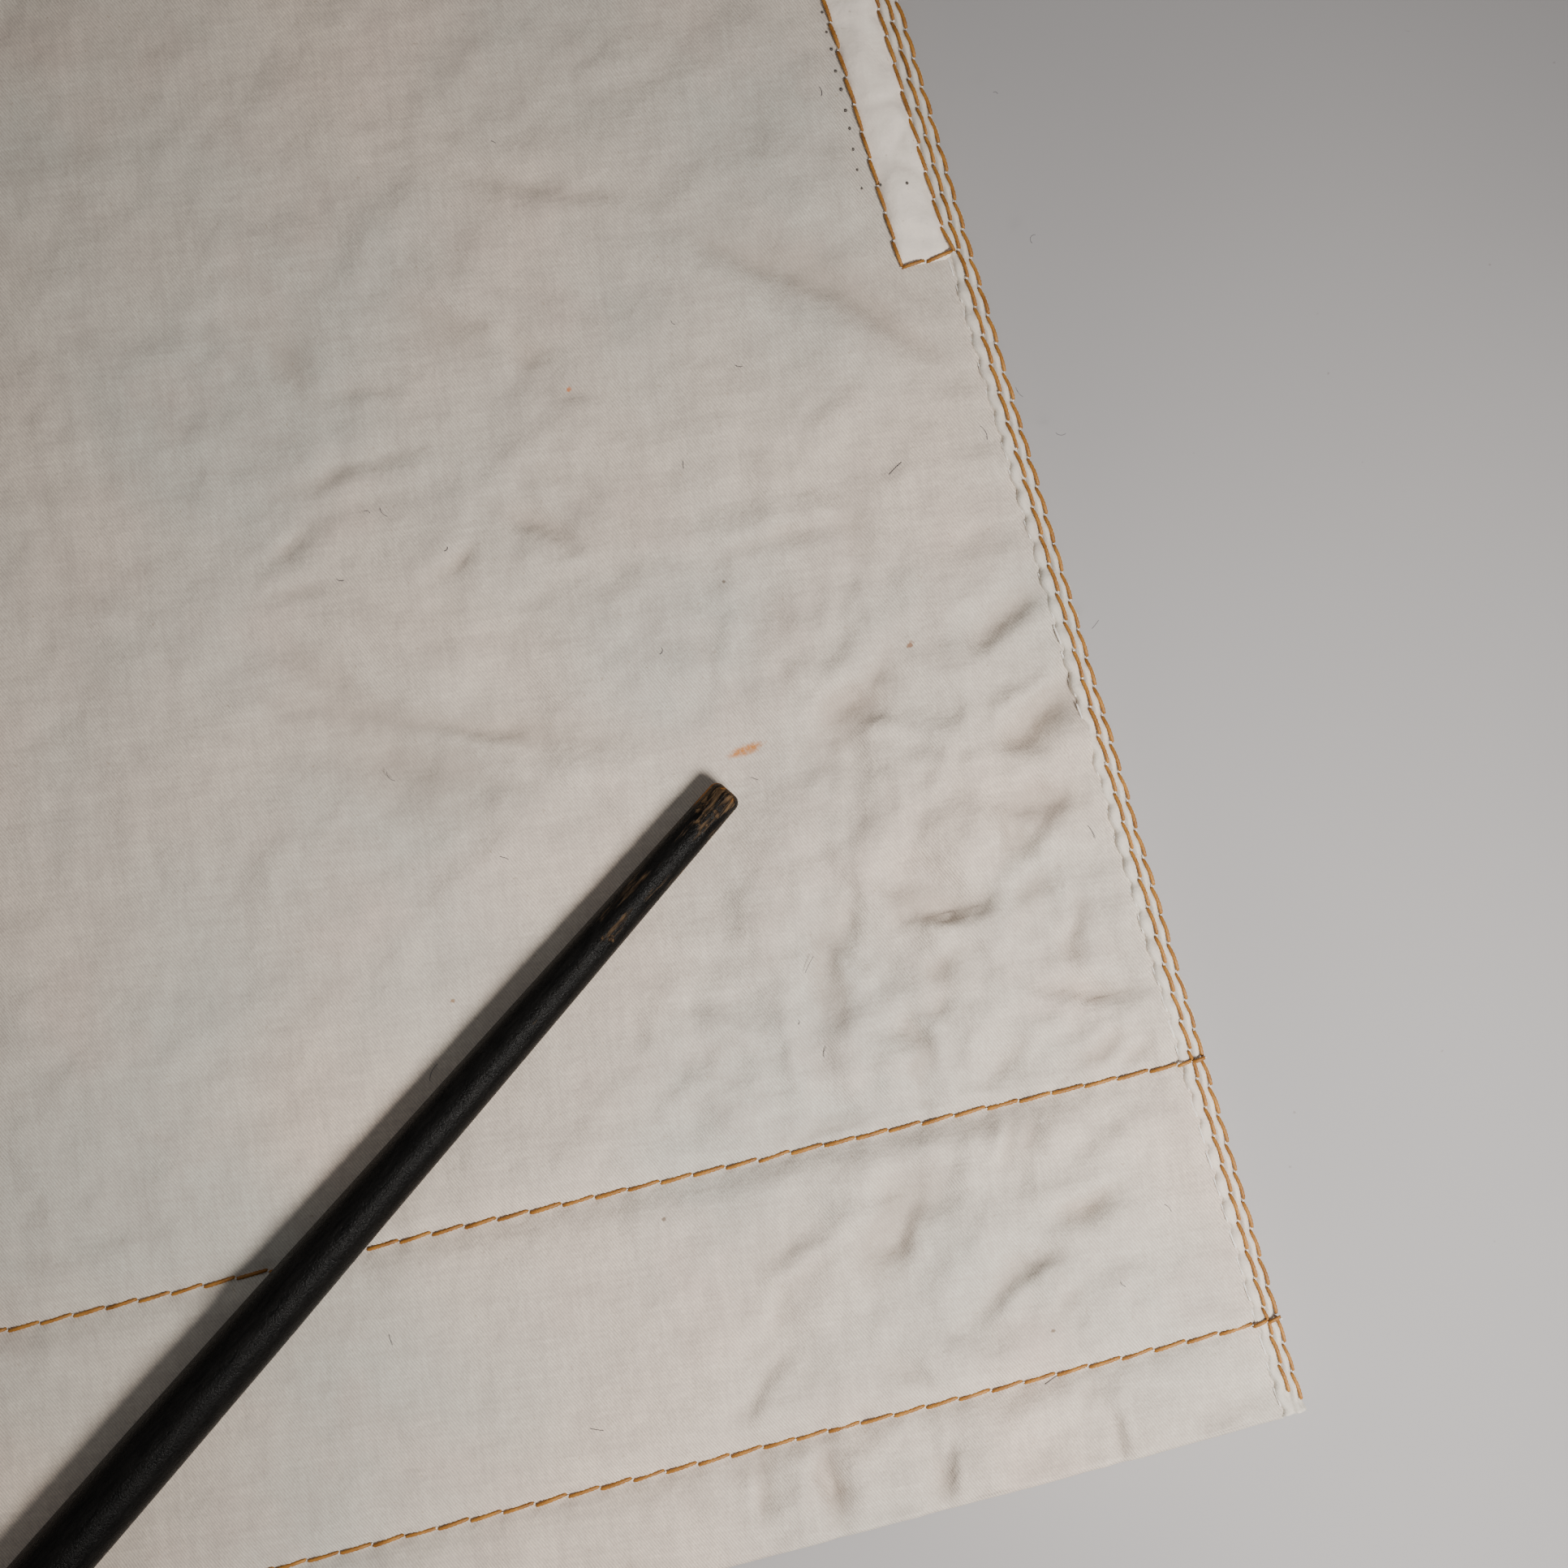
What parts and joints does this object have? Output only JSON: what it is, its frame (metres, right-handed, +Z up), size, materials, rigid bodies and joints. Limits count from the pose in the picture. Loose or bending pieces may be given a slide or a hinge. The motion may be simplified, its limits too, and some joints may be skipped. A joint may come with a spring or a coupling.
{
  "type": "pair of shorts laid flat with a pointing stick",
  "caption": "Off-white cotton twill shorts laid flat, front up, with golden topstitching, a brass zip and tack button, and a black lacquered tapered stick lying across one leg.",
  "frame": {"origin": "on the table, under the centre of the whole object's footprint; x = 0 is the shorts' centre line", "axes": "+Z up from the table, +Y from the legs towards the waistband, +X towards the wearer's left leg"},
  "size_m": [0.58, 0.4118, 0.0137],
  "materials": {
    "cotton_twill": "matte off-white twill",
    "pocket_lining": "matte plain weave",
    "zip_tape": "matte woven tape",
    "topstitch_thread": "golden-tan twisted thread with a soft sheen",
    "brass": "satin antique brass",
    "black_lacquer": "glossy black lacquer over brown wood, worn at the tip"
  },
  "bodies": {
    "shorts": {"left_front_panel": "cotton_twill", "right_front_panel": "cotton_twill", "left_back_panel": "cotton_twill", "right_back_panel": "cotton_twill", "left_outseam": "cotton_twill", "right_outseam": "cotton_twill", "left_inseam": "cotton_twill", "right_inseam": "cotton_twill", "left_front_hem_facing": "cotton_twill", "right_front_hem_facing": "cotton_twill", "left_back_hem_facing": "cotton_twill", "right_back_hem_facing": "cotton_twill", "left_pocket_welt": "cotton_twill", "right_pocket_welt": "cotton_twill", "left_back_pocket": "cotton_twill", "right_back_pocket": "cotton_twill", "front_rise_seam": "cotton_twill", "back_rise_seam": "cotton_twill", "waistband_back": "cotton_twill", "waistband_front_left": "cotton_twill", "waistband_front_right": "cotton_twill", "left_front_belt_loop": "cotton_twill", "right_front_belt_loop": "cotton_twill", "left_back_belt_loop": "cotton_twill", "right_back_belt_loop": "cotton_twill", "centre_back_belt_loop": "cotton_twill", "fly_shield": "cotton_twill", "left_pocket_bag": "pocket_lining", "right_pocket_bag": "pocket_lining", "zip_tape_left": "zip_tape", "zip_tape_right": "zip_tape", "left_outseam_inner_stitching": "topstitch_thread", "right_outseam_inner_stitching": "topstitch_thread", "left_outseam_edge_stitching": "topstitch_thread", "right_outseam_edge_stitching": "topstitch_thread", "left_hem_upper_stitching": "topstitch_thread", "right_hem_upper_stitching": "topstitch_thread", "left_hem_lower_stitching": "topstitch_thread", "right_hem_lower_stitching": "topstitch_thread", "left_pocket_stitching": "topstitch_thread", "right_pocket_stitching": "topstitch_thread", "left_inseam_stitching": "topstitch_thread", "right_inseam_stitching": "topstitch_thread", "zip_stitching": "topstitch_thread", "rise_stitching_left": "topstitch_thread", "rise_stitching_right": "topstitch_thread", "waistband_stitching_left": "topstitch_thread", "waistband_stitching_right": "topstitch_thread", "button_tack": "brass", "zip_teeth_left": "brass", "zip_teeth_right": "brass", "zip_bottom_stop": "brass"},
    "zip_slider": {"zip_slider": "brass"},
    "zip_pull": {"zip_pull_tab": "brass"},
    "button_cap": {"waist_button": "brass"},
    "pointing_stick": {"stick": "black_lacquer"}
  },
  "joints": [
    {"name": "stick_lift", "type": "slide", "parent": "shorts", "child": "pointing_stick", "axis": [0, 0, 1], "range_m": [0, 0.05]},
    {"name": "zip_slide", "type": "slide", "parent": "shorts", "child": "zip_slider", "axis": [0, -1, 0], "range_m": [0, 0.119], "deforming": ["zip_teeth_left", "zip_teeth_right", "zip_tape_left", "zip_tape_right"]},
    {"name": "zip_tab_flip", "type": "hinge", "parent": "zip_slider", "child": "zip_pull", "pos_m": [0, 0.1604, 0.00585], "axis": [-1, 0, 0], "range_deg": [0, 150]},
    {"name": "button_swivel", "type": "hinge", "parent": "shorts", "child": "button_cap", "pos_m": [0.004, 0.1869, 0.0064], "axis": [0, 0, 1], "continuous": true}
  ]
}
